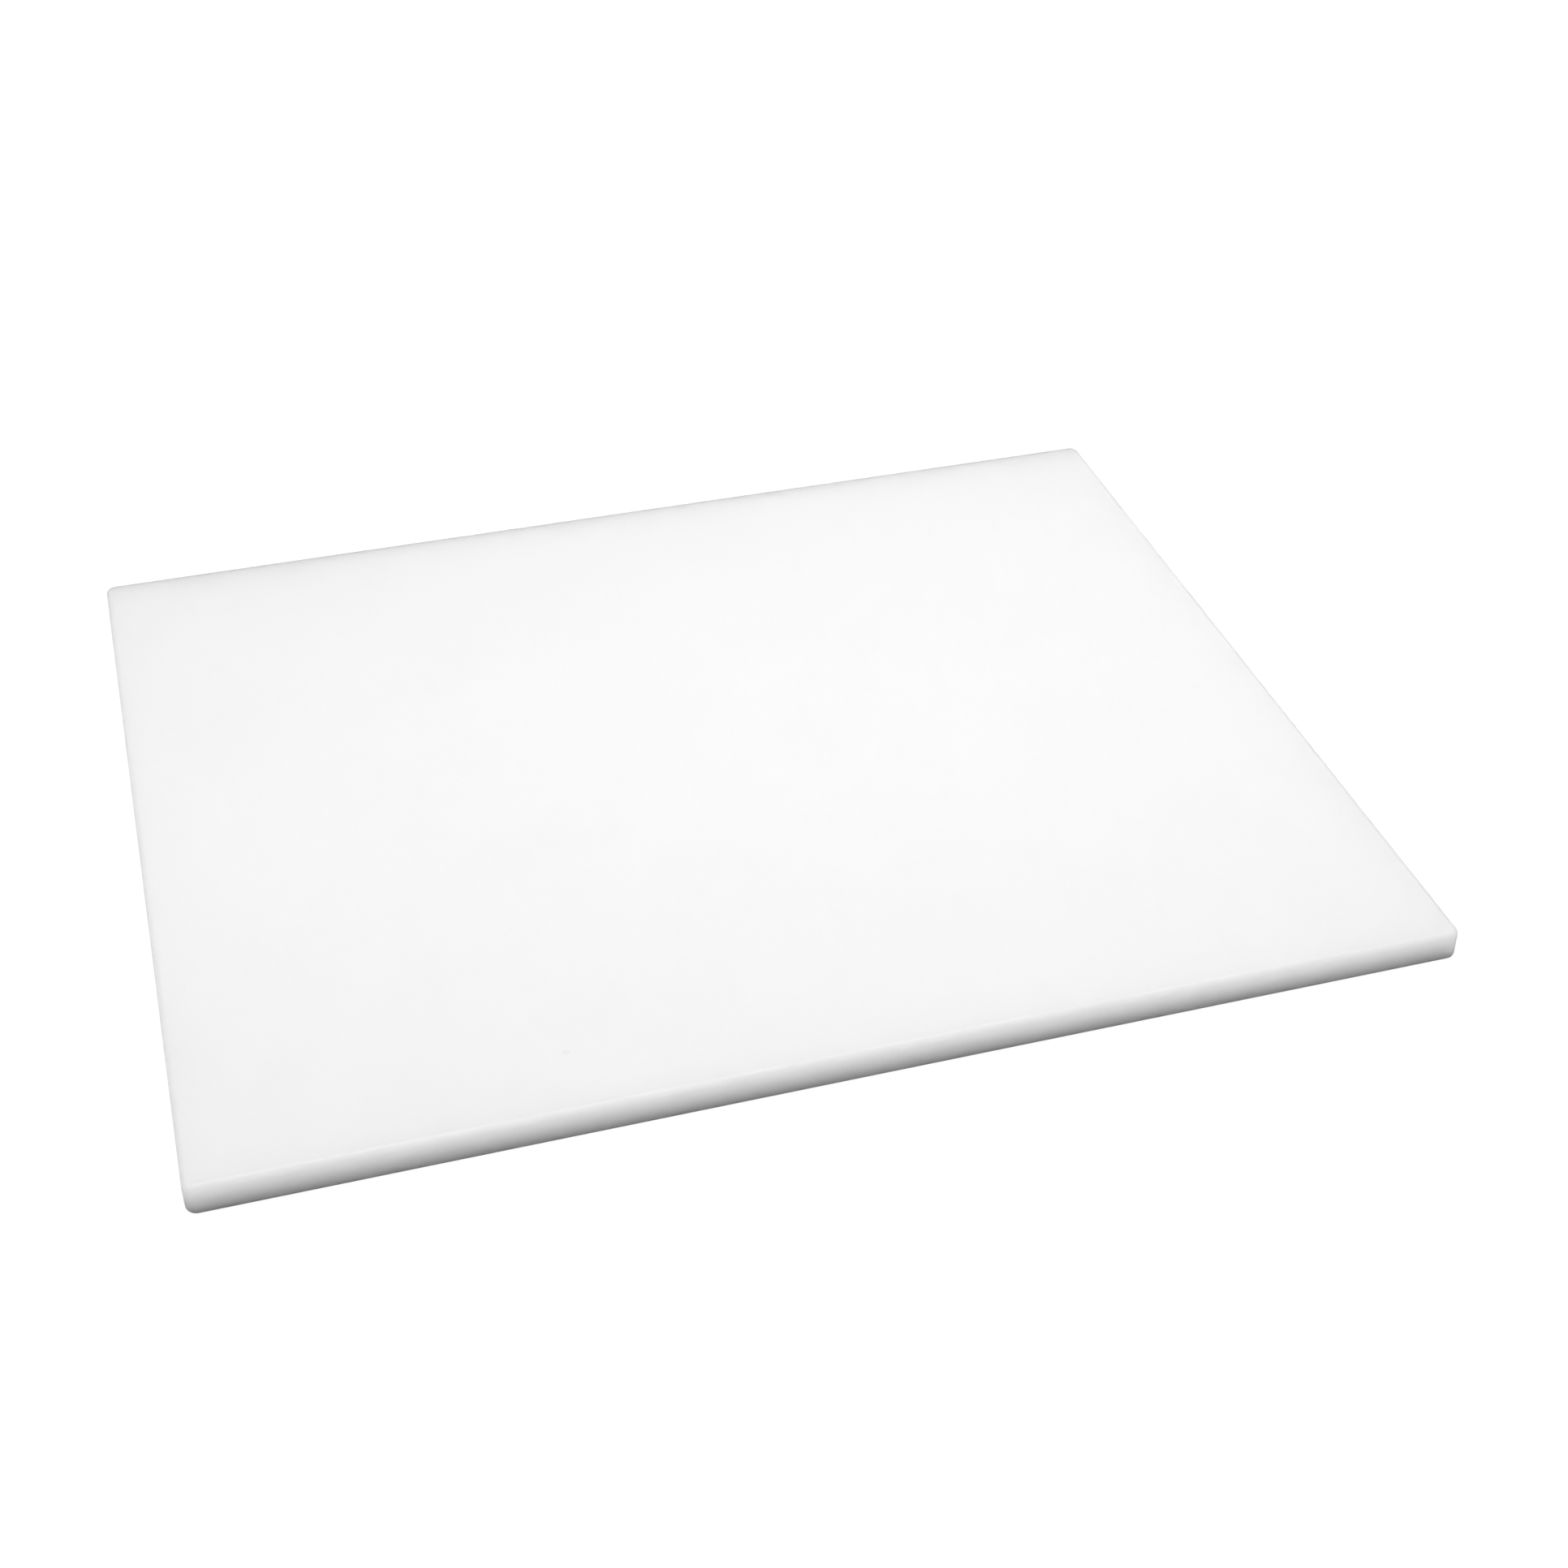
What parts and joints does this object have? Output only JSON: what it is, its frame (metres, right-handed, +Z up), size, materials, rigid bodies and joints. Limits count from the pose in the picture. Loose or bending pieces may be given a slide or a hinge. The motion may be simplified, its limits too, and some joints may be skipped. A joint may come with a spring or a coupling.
{
  "type": "cutting board",
  "caption": "Reversible commercial cutting board: a solid slab of milky white polyethylene with rounded-over edges and eased corners.",
  "frame": {"origin": "centre of the underside, where the board rests on the worktop", "axes": "+X along the long side, +Y along the short side, +Z up through the thickness"},
  "size_m": [0.4572, 0.381, 0.0127],
  "materials": {
    "polyethylene": "milky translucent high-density polyethylene, fine matte grain on both faces, smoother on the rounded edges"
  },
  "bodies": {
    "root": {"board": "polyethylene"}
  },
  "joints": []
}
